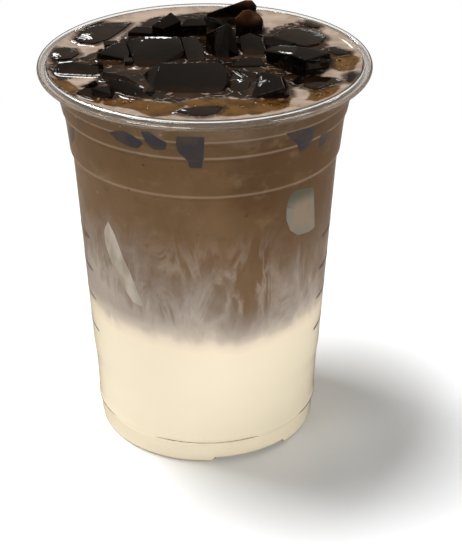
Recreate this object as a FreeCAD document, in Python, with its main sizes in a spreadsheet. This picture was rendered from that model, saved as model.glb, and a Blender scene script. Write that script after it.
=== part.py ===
"""Hojicha latte with grass jelly in a clear moulded takeaway cup, built as a parametric document.

The frame is in millimetres: +Z up, the cup's axis on Z, the table at Z = 0 and the front at -Y.
The cup is one thin moulded wall, turned about Z, with a rolled rim, stepped stacking rings and a
foot ring whose legs repeat round it. Its inside is modelled as a body of its own, and every part
of the drink is cut to it: milk at the bottom, hojicha above, jelly pieces floating in the top.
"""
import collections
import FreeCAD, Part
import itertools
import math
import os
import Sketcher

Vector = FreeCAD.Vector
doc = FreeCAD.newDocument("HojichaLatte")

# ---------------------------------------------------------------- driving dimensions (millimetres)
SIZES = [
    ("wall", 0.6, "thickness of the moulded cup"),
    ("rim_height", 120.5, "table to the top of the rolled rim"),
    ("rim_radius", 49.0, "axis to the outside of the rolled rim"),
    ("rim_roll", 1.6, "outside radius of the roll's own round section"),
    ("rim_flare", 22.0, "degrees that the wall leans out where it runs into the roll"),
    ("rim_curl", 40.0, "degrees that the roll turns in again under the rim"),
    ("collar_inset", 5.7, "rim's outside in to the wall at the upper moulded line"),
    ("collar_drop", 8.6, "rim's top down to the upper moulded line"),
    ("band_inset", 6.65, "rim's outside in to the wall on top of the lower moulded line"),
    ("band_drop", 13.7, "rim's top down to the lower moulded line"),
    ("band_step", 0.3, "how far the lower moulded line stands out"),
    ("shoulder_inset", 7.6, "rim's outside in to the wall where the shoulder starts to flare"),
    ("shoulder_drop", 17.1, "rim's top down to where the shoulder starts to flare"),
    ("ledge_inset", 8.5, "rim's outside in to the wall on top of the stacking ledge"),
    ("ledge_drop", 26.5, "rim's top down to the stacking ledge"),
    ("ledge_slant", 0.7, "height of the ledge's slanted step"),
    ("waist_inset", 9.26, "rim's outside in to the wall just under the stacking ledge"),
    ("body_top_inset", 9.7, "rim's outside in to the top of the straight body"),
    ("body_top_drop", 34.2, "rim's top down to the top of the straight body"),
    ("body_foot_radius", 35.9, "outside radius at the foot of the straight body"),
    ("body_foot_height", 26.5, "height of the foot of the straight body"),
    ("step_radius", 35.35, "outside radius under the lower step"),
    ("step_height", 22.4, "height under the lower step"),
    ("ankle_radius", 34.85, "outside radius above the foot's bead"),
    ("ankle_height", 9.6, "height above the foot's bead"),
    ("bead_radius", 35.15, "outside radius of the foot's bead"),
    ("bead_height", 7.8, "height of the foot's bead"),
    ("bead_drop", 0.7, "height of the undercut below the bead"),
    ("heel_radius", 34.2, "outside radius of the foot ring"),
    ("heel_bend", 1.3, "radius of the foot ring's rounded heel"),
    ("arch_rise", 1.5, "how far the foot ring is lifted between its legs"),
    ("leg_count", 3, "legs round the foot ring"),
    ("leg_sweep", 79.0, "degrees round the axis that one leg covers"),
    ("leg_turn", -5.8, "degrees from +X to the middle of the first leg"),
    ("leg_end_wall", 1.1, "degrees that each end wall of a leg covers"),
    ("foot_inner_radius", 29.6, "radius of the foot ring's inner side"),
    ("panel_radius", 28.4, "radius of the raised panel inside the foot ring"),
    ("panel_rise", 3.6, "table to the underside of the raised panel"),
    ("fill_below_rim", 1.5, "top of the rim down to the drink"),
    ("milk_level", 42.5, "mean height of the milk's upper side"),
    ("milk_swell", 3.0, "milk stands this much higher at front and back, and lower at the sides"),
    ("milk_ripple", 0.7, "height of the small waves on the milk"),
    ("milk_wave", 23.0, "length of the small waves on the milk"),
    ("heap_room", 16.0, "room kept above the rim for the jelly heap"),
    ("jelly_taper", 0.85, "foot of a jelly piece as a share of its widest outline"),
]

# Jelly pieces, each a hand-cut block with flat faces. For each: how deep it reaches below the drink,
# then the corners of its upper part as (east, north, lift). East and north are in hundredths of the
# throat's radius, and lift is the height above the drink. The first three corners set the plane of
# the main cut face, and a corner without a lift lies in that plane.
PIECES = {
    "wedge_front": (10, ((-27.55, -28.53, 5.0), (10.11, -29.24, 5.0), (-18.06, -58.76, -0.9),
        (14.32, -36.54, None), (13.55, -46.84, None), (7.95, -57.68, None), (-41.79, -20.16, -1.0),
        (-33.99, -51.58, -1.0), (16.17, -37.40, -2.0))),
    "peak_middle": (9, ((15.08, 12.85, 10.0), (1.02, 22.86, 5.0), (7.29, 4.94, -1.0),
        (0.28, 15.81, -1.0), (20.33, 18.33, 6.0), (22.74, 8.20, -1.0), (14.95, 3.02, -1.0))),
    "block_right": (8, ((38.19, -4.84, 4.0), (58.54, -11.51, 6.6), (54.72, -24.90, 6.2),
        (79.47, -10.33, 4.2), (62.02, -27.93, 5.2), (41.80, 2.52, -1.0), (55.30, -8.24, -1.0),
        (70.03, -15.40, -1.0), (77.82, -12.11, -1.0), (82.42, 7.08, -1.0), (41.85, 37.13, -1.0))),
    "slab_left_middle": (9, ((-50.78, 21.56, 3.2), (-16.50, 24.78, 3.8), (-28.29, -4.02, 1.0),
        (-39.24, 25.82, None), (-13.15, 8.04, None), (-45.79, 7.18, None), (-41.23, -18.47, -1.0),
        (-46.70, 9.51, -1.0), (-28.44, -1.45, -1.0), (-11.93, 5.30, -1.0))),
    "slab_middle": (9, ((-15.18, 22.88, 3.8), (-5.47, 23.89, 3.6), (0.89, 0.62, 0.4),
        (-10.56, -1.55, None), (-0.97, 14.89, None), (-15.92, 17.93, -1.0), (0.88, 1.52, -1.0),
        (-11.87, -1.76, -1.0))),
    "block_front_right": (9, ((34.26, -44.85, 5.0), (48.04, -63.40, 3.3), (27.77, -62.25, 0.2),
        (46.05, -52.90, None), (52.72, -57.90, -1.0), (44.72, -60.91, -1.0), (27.28, -59.03, -1.0),
        (52.58, -36.91, -1.0), (30.28, -39.79, -1.0))),
    "block_front_left": (8, ((-59.86, -40.83, 2.2), (-38.62, -54.24, 1.6), (-51.45, -55.00, -0.6),
        (-49.24, -45.02, None), (-32.55, -59.55, -1.0), (-42.65, -64.08, -1.0),
        (-62.29, -34.83, -1.0), (-36.21, -38.59, -1.0))),
    "cube_left_outer": (6, ((-77.46, -54.05, 0.8), (-69.02, -52.08, 1.6), (-67.33, -61.63, 0.4),
        (-73.34, -51.19, None), (-76.24, -56.15, -0.6), (-66.92, -60.51, -1.0),
        (-79.20, -49.17, -1.0))),
    "cube_left_inner": (7, ((-68.76, -55.34, 2.2), (-58.58, -53.38, 2.4), (-56.39, -61.90, 1.6),
        (-65.72, -60.54, -1.0), (-54.39, -57.58, -1.0), (-52.63, -43.19, -1.0))),
    "slab_left_front": (6, ((-62.49, -26.86, 1.8), (-40.41, -39.56, 0.4), (-64.26, -32.58, -0.8),
        (-49.84, -32.67, None), (-44.84, -38.44, -1.0), (-66.35, -18.01, -1.0))),
    "slab_left_edge": (7, ((-92.31, -11.47, 1.6), (-66.90, -15.41, 1.6), (-65.96, -22.98, 0.2),
        (-84.79, -10.46, None), (-90.41, -22.48, None), (-70.44, -23.02, -1.0),
        (-93.45, -24.28, -1.0), (-98.22, -12.30, -1.0))),
    "lens_left_edge": (5, ((-100.12, 12.11, 0.6), (-90.79, 24.70, 0.6), (-97.29, 1.33, 0.6),
        (-98.31, 21.17, None), (-84.14, 22.73, None), (-80.91, 13.55, None), (-85.42, 4.66, None))),
    "block_left": (7, ((-68.62, 4.06, 2.2), (-52.15, 22.78, 3.0), (-48.78, 0.47, 0.9),
        (-59.62, 16.53, None), (-47.28, 12.70, None), (-60.50, 2.67, -1.0), (-70.53, 9.96, -1.0),
        (-47.27, 7.74, -1.0))),
    "lens_left_back": (6, ((-86.00, 39.56, 0.6), (-49.70, 71.94, 0.6), (-72.35, 31.77, 0.6),
        (-82.01, 58.73, None), (-74.68, 70.44, None), (-54.51, 58.19, None), (-63.56, 39.13, None),
        (-81.65, 33.83, None))),
    "block_back_left": (7, ((-50.61, 46.25, 1.6), (-32.18, 51.93, 2.2), (-29.39, 44.40, 1.2),
        (-45.50, 52.83, None), (-38.94, 50.07, -1.0), (-51.46, 46.50, -1.0),
        (-30.90, 48.00, -1.0))),
    "cube_back": (8, ((-21.93, 47.82, 7.6), (-15.38, 44.92, 5.2), (-27.23, 40.67, 3.4),
        (-34.46, 41.73, 4.2), (-18.41, 59.33, -1.0), (-27.65, 51.77, -1.0), (-35.10, 55.78, -1.0))),
    "block_back": (8, ((-16.09, 45.02, 3.6), (-0.87, 53.72, 5.0), (1.74, 46.61, 3.6),
        (-12.15, 51.48, None), (0.38, 53.15, -1.0), (-9.62, 49.50, -1.0), (-16.37, 57.35, -1.0))),
    "corner_back": (7, ((-0.87, 61.44, 4.4), (11.80, 58.19, 3.6), (13.08, 54.20, 2.0),
        (5.13, 58.73, None), (2.41, 60.88, -1.0), (-0.94, 68.81, -1.0), (11.80, 58.74, -1.0))),
    "fin_back": (6, ((1.17, 82.77, 1.3), (27.75, 82.62, 5.8), (35.28, 82.78, 3.8),
        (32.51, 82.65, None), (2.55, 87.92, 0.8), (28.56, 87.11, 5.1), (32.67, 87.66, 5.0),
        (36.14, 87.85, 3.0), (1.15, 86.85, -1.0), (36.17, 86.15, -1.0))),
    "dome_back": (9, ((20.18, 43.89, 6.2), (34.67, 45.41, 7.8), (39.17, 55.86, 1.0),
        (25.35, 41.21, None), (29.95, 42.19, None), (38.85, 50.13, None), (24.01, 64.37, -1.0),
        (21.95, 62.45, -1.0), (41.46, 62.06, -1.0))),
    "block_middle_right": (7, ((23.11, 26.40, 3.4), (37.33, 24.25, 3.4), (36.88, 8.72, -0.2),
        (29.66, 28.92, None), (39.60, 13.88, None), (24.70, 9.87, None), (20.54, 26.38, -1.0),
        (42.43, 18.64, -1.0))),
    "block_right_back": (6, ((38.92, 31.38, 2.2), (59.50, 24.51, 1.4), (41.25, 21.82, -0.6),
        (44.76, 30.55, None), (54.46, 25.73, -1.0), (38.42, 33.45, -1.0))),
    "lens_right_back": (6, ((43.94, 41.54, 0.8), (75.70, 52.46, 0.8), (65.90, 22.36, 0.8),
        (51.16, 54.89, None), (63.94, 56.59, None), (80.86, 40.81, None), (75.36, 27.74, None),
        (51.98, 30.06, None))),
    "lens_back_edge": (5, ((67.16, 65.62, 0.6), (74.82, 69.45, 0.6), (72.17, 59.60, 0.6),
        (70.22, 71.55, None), (78.20, 59.48, None))),
    "lens_right_edge": (5, ((79.48, 21.43, 0.6), (95.05, 13.82, 0.6), (83.70, 8.62, 0.6),
        (84.16, 23.19, None), (91.39, 8.47, None), (79.60, 14.12, None))),
    "sliver_middle": (7, ((15.97, -12.44, 0.8), (23.07, -4.27, 1.8), (38.07, -10.55, 0.7),
        (35.79, -2.75, None), (26.10, -10.46, -0.2), (19.82, -9.31, -1.0), (37.58, -7.91, -1.0))),
    "sliver_front": (7, ((18.41, -16.50, 0.9), (33.74, -26.41, 1.4), (24.42, -27.45, 0.1),
        (32.36, -31.53, None), (29.19, -34.84, -1.0), (22.04, -23.02, -1.0))),
    "slab_right_front": (5, ((61.29, -34.23, 0.6), (80.03, -31.24, 0.6), (67.61, -50.74, 0.6),
        (70.25, -29.38, None), (85.19, -36.33, None), (76.71, -42.77, None),
        (60.00, -45.74, None))),
    "chip_right_edge": (4, ((87.87, -26.33, 0.6), (95.17, -28.16, 0.6), (90.45, -39.73, 0.6),
        (92.65, -21.33, None), (87.04, -36.37, None))),
    "slab_front": (6, ((14.90, -38.90, 1.0), (28.43, -38.59, 1.2), (18.86, -56.26, -0.3),
        (21.70, -37.01, None), (25.68, -49.90, None), (10.45, -50.77, -1.0),
        (12.46, -37.83, -1.0))),
    "sliver_front_edge": (4, ((-17.07, -83.14, 0.5), (11.33, -76.00, 0.5), (-0.57, -90.95, 0.5),
        (-12.99, -78.64, None), (0.65, -75.81, None), (7.08, -86.58, None), (-8.78, -89.31, None))),
}

sheet = doc.addObject("Spreadsheet::Sheet", "Sizes")
rows = SIZES + [(piece + "_deep", deep, piece + ": its foot below the drink")
                for piece, (deep, corners) in PIECES.items()]
for row, (alias, value, note) in enumerate(rows, start=1):
    sheet.set(f"A{row}", alias)
    sheet.set(f"B{row}", str(value))
    sheet.set(f"C{row}", note)
    sheet.setAlias(f"B{row}", alias)
doc.recompute()


# ---------------------------------------------------------------- turned outlines, bound to the sheet
def bound(words):
    """An expression on the sheet: each plain alias in it is looked up in Sizes."""
    aliases = {row[0] for row in SIZES}
    return " ".join(f"Sizes.{word}" if word in aliases else word for word in words.split())


def add_arc(sketch, start, end, centre, turn):
    """Add the arc from start to end; the sketcher always stores it counter-clockwise."""
    first, last = (start, end) if turn > 0 else (end, start)
    begin = math.atan2(first.y - centre.y, first.x - centre.x)
    finish = math.atan2(last.y - centre.y, last.x - centre.x)
    if finish <= begin:
        finish += 2 * math.pi
    circle = Part.Circle(centre, Vector(0, 0, 1), first.distanceToPoint(centre))
    sketch.addGeometry(Part.ArcOfCircle(circle, begin, finish))
    return (1, 2) if turn > 0 else (2, 1)


def draw_outline(sketch, corners):
    """Draw a closed outline of straight runs and arcs, with every size bound to the sheet.

    Each corner is (radius, height), or (radius, height, bend radius, bend centre's radius and
    height, turn) where the run to the next corner is an arc; turn is +1 counter-clockwise.
    """
    points = [Vector(float(sketch.evalExpression(bound(c[0]))),
                     float(sketch.evalExpression(bound(c[1]))), 0) for c in corners]
    ends = []
    for index, corner in enumerate(corners):
        start, end = points[index], points[(index + 1) % len(points)]
        if len(corner) == 2:
            sketch.addGeometry(Part.LineSegment(start, end))
            ends.append((1, 2))
        else:
            centre = Vector(*(float(sketch.evalExpression(bound(c))) for c in corner[3:5]), 0)
            ends.append(add_arc(sketch, start, end, centre, corner[5]))
    for index, corner in enumerate(corners):
        following = (index + 1) % len(corners)
        sketch.addConstraint(Sketcher.Constraint(
            "Coincident", index, ends[index][1], following, ends[following][0]))
        for kind, words, on_axis, value in (("DistanceX", corner[0], -2, points[index].x),
                                            ("DistanceY", corner[1], -1, points[index].y)):
            if words == "0":
                sketch.addConstraint(Sketcher.Constraint(
                    "PointOnObject", index, ends[index][0], on_axis))
                continue
            number = sketch.addConstraint(Sketcher.Constraint(
                kind, -1, 1, index, ends[index][0], value))
            sketch.setExpression(f"Constraints[{number}]", bound(words))
        if len(corner) > 2:
            number = sketch.addConstraint(Sketcher.Constraint(
                "Radius", index, sketch.Geometry[index].Radius))
            sketch.setExpression(f"Constraints[{number}]", bound(corner[2]))


def upright_sketch(body, name, corners):
    """A sketch on the body's own XZ plane: across is the radius, up is the height."""
    sketch = body.newObject("Sketcher::SketchObject", name)
    plane = next(p for p in body.Origin.OriginFeatures if p.Role == "XZ_Plane")
    sketch.AttachmentSupport = [(plane, "")]
    sketch.MapMode = "FlatFace"
    draw_outline(sketch, corners)
    return sketch


def turned(body, kind, name, corners, sweep="360"):
    """Turn an outline about Z, evenly to both sides of the XZ plane; kind is Revolution or Groove."""
    sketch = upright_sketch(body, name + "_outline", corners)
    feature = body.newObject("PartDesign::" + kind, name)
    feature.Profile = sketch
    feature.ReferenceAxis = (sketch, ["V_Axis"])
    feature.Midplane = True
    feature.setExpression("Angle", bound(sweep))
    doc.recompute()
    return feature


def repeat_legs(body, features):
    """Repeat one leg's features evenly round the axis."""
    pattern = body.newObject("PartDesign::PolarPattern", "legs")
    axis = next(a for a in body.Origin.OriginFeatures if a.Role == "Z_Axis")
    pattern.Originals = features
    pattern.Axis = (axis, [""])
    pattern.Angle = 360
    pattern.setExpression("Occurrences", "Sizes.leg_count")
    body.Tip = pattern
    body.setExpression("Placement", "placement(vector(0; 0; 0); rotation(Sizes.leg_turn; 0; 0))")
    doc.recompute()


# The roll's centre, the points where the wall's two sides run into it, and where its curl ends.
ROLL_X = "rim_radius - rim_roll"
ROLL_Y = "rim_height - rim_roll"
INNER_ROLL = "( rim_roll - wall )"
THROAT = (ROLL_X + " - rim_roll * cos( rim_flare )", ROLL_Y + " + rim_roll * sin( rim_flare )")
WALL_TOP = (ROLL_X + " - " + INNER_ROLL + " * cos( rim_flare )",
            ROLL_Y + " + " + INNER_ROLL + " * sin( rim_flare )")
CURL_INNER = (ROLL_X + " - " + INNER_ROLL + " * sin( rim_curl )",
              ROLL_Y + " - " + INNER_ROLL + " * cos( rim_curl )")
CURL_OUTER = (ROLL_X + " - rim_roll * sin( rim_curl )", ROLL_Y + " - rim_roll * cos( rim_curl )")

# The outside of the wall from above the heel up to the rim.
WALL_LINE = [
    ("heel_radius", "bead_height - bead_drop"),
    ("bead_radius", "bead_height"),
    ("ankle_radius", "ankle_height"),
    ("step_radius", "step_height"),
    ("body_foot_radius", "body_foot_height"),
    ("rim_radius - body_top_inset", "rim_height - body_top_drop"),
    ("rim_radius - waist_inset", "rim_height - ledge_drop - ledge_slant"),
    ("rim_radius - ledge_inset", "rim_height - ledge_drop"),
    ("rim_radius - shoulder_inset", "rim_height - shoulder_drop"),
    ("rim_radius - band_inset - band_step", "rim_height - band_drop - band_step"),
    ("rim_radius - band_inset", "rim_height - band_drop"),
    ("rim_radius - collar_inset", "rim_height - collar_drop"),
]
INNER_LINE = [(radius + " - wall", height) for radius, height in WALL_LINE]

# The rounded heel is a quarter turn, between the legs at the height of the arch.
HEEL_X = "heel_radius - heel_bend"
HEEL_Y = "arch_rise + heel_bend"
HEEL_OUTER = (HEEL_X, "arch_rise", "heel_bend", HEEL_X, HEEL_Y, 1)
HEEL_INNER = (HEEL_X, "arch_rise + wall", "heel_bend - wall", HEEL_X, HEEL_Y, 1)


def make_cup():
    """The moulded cup: one thin wall from the raised panel round the foot and up into the roll."""
    body = doc.addObject("PartDesign::Body", "cup")
    shell = [("0", "panel_rise"), ("panel_radius", "panel_rise"), ("foot_inner_radius", "arch_rise"),
             HEEL_OUTER, ("heel_radius", HEEL_Y)]
    shell += WALL_LINE
    shell += [(*WALL_TOP, INNER_ROLL, ROLL_X, ROLL_Y, -1), CURL_INNER,
              (*CURL_OUTER, "rim_roll", ROLL_X, ROLL_Y, 1), THROAT]
    shell += INNER_LINE[::-1]
    shell += [("heel_radius - wall", HEEL_Y, "heel_bend - wall", HEEL_X, HEEL_Y, -1),
              (HEEL_X, "arch_rise + wall"), ("foot_inner_radius + wall", "arch_rise + wall"),
              ("panel_radius + wall", "panel_rise + wall"), ("0", "panel_rise + wall")]
    turned(body, "Revolution", "shell", shell)
    leg = [("foot_inner_radius", "0"), (HEEL_X, "0", "heel_bend", HEEL_X, "heel_bend", 1),
           ("heel_radius", "heel_bend"), ("heel_radius", HEEL_Y),
           ("heel_radius - wall", HEEL_Y, "heel_bend - wall", HEEL_X, HEEL_Y, -1),
           (HEEL_X, "arch_rise + wall"), ("foot_inner_radius", "arch_rise + wall")]
    solid_leg = turned(body, "Revolution", "leg", leg, "leg_sweep")
    hollow = turned(body, "Groove", "leg_hollow", leg_room(), "leg_sweep - 2 * leg_end_wall")
    repeat_legs(body, [solid_leg, hollow])
    return body


def leg_room():
    """The room inside one leg, from its floor up into the channel above it."""
    return [("foot_inner_radius + wall", "wall"),
            (HEEL_X, "wall", "heel_bend - wall", HEEL_X, "heel_bend", 1),
            ("heel_radius - wall", "heel_bend"), ("heel_radius - wall", HEEL_Y),
            ("foot_inner_radius + wall", HEEL_Y)]


def make_inside():
    """All the room inside the cup, going on straight up from the throat for the jelly heap."""
    body = doc.addObject("PartDesign::Body", "inside")
    room = [("0", "panel_rise + wall"), ("panel_radius + wall", "panel_rise + wall"),
            ("foot_inner_radius + wall", "arch_rise + wall"), HEEL_INNER,
            ("heel_radius - wall", HEEL_Y)]
    room += INNER_LINE
    room += [THROAT, (THROAT[0], "rim_height + heap_room"), ("0", "rim_height + heap_room")]
    turned(body, "Revolution", "room", room)
    leg_fill = turned(body, "Revolution", "leg_room", leg_room(), "leg_sweep - 2 * leg_end_wall")
    repeat_legs(body, [leg_fill])
    return body


# ---------------------------------------------------------------- milk and hojicha, one above the other
def size(alias):
    """A size as it now stands in the sheet."""
    return float(sheet.get(alias))


def make_milk_bank():
    """A block whose upper side is the uneven meeting of milk and hojicha.

    height = milk level + swell (y^2 - x^2) / radius^2 + ripple cos(x / wave) cos(y / wave)
    """
    reach = size("rim_radius")
    radius = size("body_foot_radius")
    steps = 12
    wave = size("milk_wave") / (2 * math.pi)
    grid = []
    for i in range(steps + 1):
        x = -reach + 2 * reach * i / steps
        line = []
        for k in range(steps + 1):
            y = -reach + 2 * reach * k / steps
            swell = size("milk_swell") * (y * y - x * x) / radius ** 2
            ripple = size("milk_ripple") * math.cos(x / wave) * math.cos(y / wave)
            line.append(Vector(x, y, size("milk_level") + swell + ripple))
        grid.append(line)
    surface = Part.BSplineSurface()
    surface.interpolate(grid)
    bank = doc.addObject("Part::Feature", "milk_bank")
    bank.Shape = surface.toShape().extrude(Vector(0, 0, -size("rim_height")))
    return bank


def combine(kind, name, base, tool):
    """A Part::Cut or Part::Common of two objects."""
    feature = doc.addObject(kind, name)
    feature.Base = base
    feature.Tool = tool
    return feature


# ---------------------------------------------------------------- jelly pieces
NEAR = 1e-6


def flat_faces(points):
    """The flat faces round the outermost of the points, each as its corners in order.

    Three points span a face where no other point lies beyond their plane, and a point is a
    corner where three faces or more meet.
    """
    found = {}
    for a, b, c in itertools.combinations(points, 3):
        normal = (b - a).cross(c - a)
        if normal.Length < NEAR:
            continue
        normal.normalize()
        beyond = [(p - a).dot(normal) for p in points]
        if max(beyond) > NEAR:
            normal, beyond = -normal, [-d for d in beyond]
        if max(beyond) > NEAR:
            continue
        found[tuple(i for i, d in enumerate(beyond) if d > -NEAR)] = normal
    shared = collections.Counter(itertools.chain.from_iterable(found))
    for members, normal in found.items():
        corners = [points[i] for i in members if shared[i] >= 3]
        middle = sum(corners, Vector()) / len(corners)
        along = (corners[0] - middle).normalize()
        across = normal.cross(along)
        yield sorted(corners, key=lambda p: math.atan2((p - middle).dot(across),
                                                       (p - middle).dot(along)))


def cut_corners(corners, level):
    """A piece's corners in millimetres, with the lifts that follow from its main cut face."""
    reach = (size("rim_radius") - size("rim_roll")
             - size("rim_roll") * math.cos(math.radians(size("rim_flare")))) / 100
    first = [Vector(east * reach, north * reach, lift) for east, north, lift in corners[:3]]
    normal = (first[1] - first[0]).cross(first[2] - first[0])
    points = []
    for east, north, lift in corners:
        point = Vector(east * reach, north * reach, lift or 0)
        if lift is None:
            point.z = (first[0] - point).dot(normal) / normal.z
        points.append(point + Vector(0, 0, level))
    return points


def jelly_block(piece):
    """One hand-cut block: its corners, and below each of them a foot corner drawn inwards."""
    level = size("rim_height") - size("fill_below_rim")
    corners = cut_corners(PIECES[piece][1], level)
    middle = sum(corners, Vector()) / len(corners)
    foot = [middle + (corner - middle) * size("jelly_taper") for corner in corners]
    for point in foot:
        point.z = level - size(piece + "_deep")
    faces = [Part.Face(Part.makePolygon(face + face[:1])) for face in flat_faces(corners + foot)]
    block = doc.addObject("Part::Feature", piece + "_block")
    block.Shape = Part.Solid(Part.Shell(faces))
    return block


def make_jelly(inside):
    """Cut each block to the cup, then to the pieces that it is pressed against."""
    finished = []
    for piece in PIECES:
        shape = combine("Part::Common", piece + "_in_cup", jelly_block(piece), inside)
        doc.recompute()
        pressed = [other for other in finished if shape.Shape.common(other.Shape).Volume > 0]
        for number, other in enumerate(pressed, start=1):
            shape = combine("Part::Cut", f"{piece}_pressed_{number}", shape, other)
        doc.recompute()
        shape.Label = "jelly_" + piece
        finished.append(shape)
    return finished


# ---------------------------------------------------------------- the whole drink
cup = make_cup()
inside = make_inside()
jelly = make_jelly(inside)

below_level = doc.addObject("Part::Cylinder", "below_level")
below_level.setExpression("Radius", "Sizes.rim_radius")
below_level.setExpression("Height", "Sizes.rim_height - Sizes.fill_below_rim")
filling = combine("Part::Common", "filling", inside, below_level)
milk_bank = make_milk_bank()
milk = combine("Part::Common", "milk", filling, milk_bank)
milk.Label = "milk_layer"
above_milk = combine("Part::Cut", "above_milk", filling, milk_bank)
jelly_heap = doc.addObject("Part::MultiFuse", "jelly_heap")
jelly_heap.Shapes = jelly
hojicha = combine("Part::Cut", "hojicha", above_milk, jelly_heap)
hojicha.Label = "hojicha_tea"
doc.recompute()

# ---------------------------------------------------------------- checks and export
for item in doc.Objects:
    if "Invalid" in item.State or "Error" in item.State:
        raise RuntimeError(f"{item.Name} failed: {item.State}")

sub_parts = [cup, milk, hojicha] + jelly
for item in sub_parts:
    if item.Shape.isNull() or not item.Shape.isValid() or len(item.Shape.Solids) != 1:
        raise RuntimeError(f"{item.Label} isn't one valid solid")

os.makedirs("parts", exist_ok=True)
for item in sub_parts:
    item.Shape.exportStep(os.path.join("parts", item.Label + ".step"))
    print(f"{item.Label}: {item.Shape.Volume:.0f} mm3, {len(item.Shape.Faces)} faces")
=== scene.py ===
"""Hojicha latte with grass jelly in a clear moulded takeaway cup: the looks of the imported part.

Metres, +Z up, the cup's axis on Z and the front at -Y, as in the part. Sizes are written in
millimetres and turned into metres by MM.
"""
import math

import bmesh
import bpy
import numpy as np
from mathutils import Matrix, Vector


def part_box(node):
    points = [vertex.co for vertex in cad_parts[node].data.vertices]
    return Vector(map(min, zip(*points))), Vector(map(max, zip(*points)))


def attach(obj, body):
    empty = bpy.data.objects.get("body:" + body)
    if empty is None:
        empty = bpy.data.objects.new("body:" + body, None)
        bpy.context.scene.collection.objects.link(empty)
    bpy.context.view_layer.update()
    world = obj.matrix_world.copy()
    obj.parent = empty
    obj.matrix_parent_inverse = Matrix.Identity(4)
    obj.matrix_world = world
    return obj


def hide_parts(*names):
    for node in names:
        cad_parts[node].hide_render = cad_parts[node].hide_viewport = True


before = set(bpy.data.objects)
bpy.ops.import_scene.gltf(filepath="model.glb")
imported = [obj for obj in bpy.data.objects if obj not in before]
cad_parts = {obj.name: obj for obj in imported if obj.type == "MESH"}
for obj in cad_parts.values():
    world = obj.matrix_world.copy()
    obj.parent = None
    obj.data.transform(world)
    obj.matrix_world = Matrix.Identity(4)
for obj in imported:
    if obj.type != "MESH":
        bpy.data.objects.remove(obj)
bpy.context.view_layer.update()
MM = 0.001

# ================================================================ the cup
# A thin cup of clear plastic, moulded in one: a raised panel inside a foot ring on three legs, a
# plain tapering body, a ledge and two fine lines where cups stack, and a rim rolled outwards.
# It is one outline turned about Z, in which only the foot ring's height changes round the cup.
WALL, ROLL, RIM_RADIUS = 0.6, 1.6, 49.0
RIM_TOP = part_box("cup")[1][2] / MM
ROLL_R, ROLL_Z = RIM_RADIUS - ROLL, RIM_TOP - ROLL
FLARE, CURL = math.radians(22), math.radians(40)
# Outlines as (radius, height): under the panel, on top of it, and up the outside of the wall.
HEEL, HEEL_BEND = (32.9, 1.3), 1.3
UNDERSIDE = [(0, 3.6), (28.4, 3.6), (29.6, 0), (32.9, 0)]
PANEL_TOP = [(32.9, WALL), (30.2, WALL), (29.0, 4.2), (0, 4.2)]
PANEL_BENDS = [0, 0.5, 0.3, 0]
OUTSIDE = [(34.2, 2.8), (34.2, 7.1), (35.15, 7.8), (34.85, 9.6), (35.35, 22.4), (35.9, 26.5),
           (39.3, 86.3), (39.74, 93.3), (40.5, 94.0), (41.4, 103.4), (42.05, 106.5),
           (42.35, 106.8), (43.3, 111.9)]
WALL_BENDS = [0, 0.5, 0.6, 0.8, 1.5, 1.5, 4, 0.5, 0.6, 2, 0.3, 0.3, 1.5]
# The foot ring stands on three legs, and its arch between them fades out upwards.
ARCH, ARCH_TOP, RING_INSIDE = 1.5, 2.8, 29.0
LEGS, LEG_TURN = 3, math.radians(-5.8)
LEG_SWEEP, LEG_END = math.radians(79), math.radians(1.1)
LONGEST_RUN, ROUND = 3.0, 240


def arc(centre, radius, first, last, count):
    """Points centre + radius (cos a, sin a), with a running evenly from first to last."""
    a = np.linspace(first, last, count)
    return np.stack([centre[0] + radius * np.cos(a), centre[1] + radius * np.sin(a)], 1)


def eased(points, bends, count=5):
    """The line through points, where each corner becomes a quadratic curve as long as its bend.

    On a corner c with curve ends a and b: (1 - t)^2 a + 2 t (1 - t) c + t^2 b.
    """
    points = np.asarray(points, float)
    out = [points[:1]]
    t = np.linspace(0, 1, count)[:, None]
    for before, corner, after, bend in zip(points, points[1:], points[2:], bends[1:]):
        back, on = before - corner, after - corner
        near, far = np.linalg.norm(back), np.linalg.norm(on)
        reach = min(bend, 0.45 * near, 0.45 * far)
        a, b = corner + back / near * reach, corner + on / far * reach
        out.append((1 - t) ** 2 * a + 2 * t * (1 - t) * corner + t ** 2 * b)
    out.append(points[-1:])
    return np.concatenate(out)


def divided(line, longest):
    """The line with every run longer than `longest` cut into equal shorter runs."""
    out = [line[:1]]
    for a, b in zip(line, line[1:]):
        count = max(1, int(np.ceil(np.linalg.norm(b - a) / longest)))
        out.append(a + (b - a) * np.linspace(0, 1, count + 1)[1:, None])
    return np.concatenate(out)


def turned(profile, angles):
    """Rows of points (r cos a, r sin a, z), one row for each (r, z) of the profile."""
    r, z = profile[:, :1], profile[:, 1:]
    return np.stack([r * np.cos(angles), r * np.sin(angles), z + 0 * angles], 2)


def on_legs(rows, angles):
    """The rows with the foot ring raised between its legs by arch * (1 - z / arch top)."""
    in_leg = np.abs((angles - LEG_TURN + math.pi / LEGS) % (2 * math.pi / LEGS) - math.pi / LEGS)
    between = np.clip((in_leg - LEG_SWEEP / 2) / LEG_END + 1, 0, 1)
    radius, z = np.hypot(rows[..., 0], rows[..., 1]), rows[..., 2]
    on_ring = (z < ARCH_TOP - 0.1) & (radius > RING_INSIDE)
    rise = np.where(on_ring, ARCH * between * np.clip(1 - z / ARCH_TOP, 0, 1), 0)
    return np.dstack([rows[..., :2], z + rise])


def placed(name, mesh, material):
    """The mesh as a piece of the scene at the origin, in one material."""
    piece = bpy.data.objects.new(name, mesh)
    bpy.context.collection.objects.link(piece)
    mesh.materials.clear()
    mesh.materials.append(material)
    return piece


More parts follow.
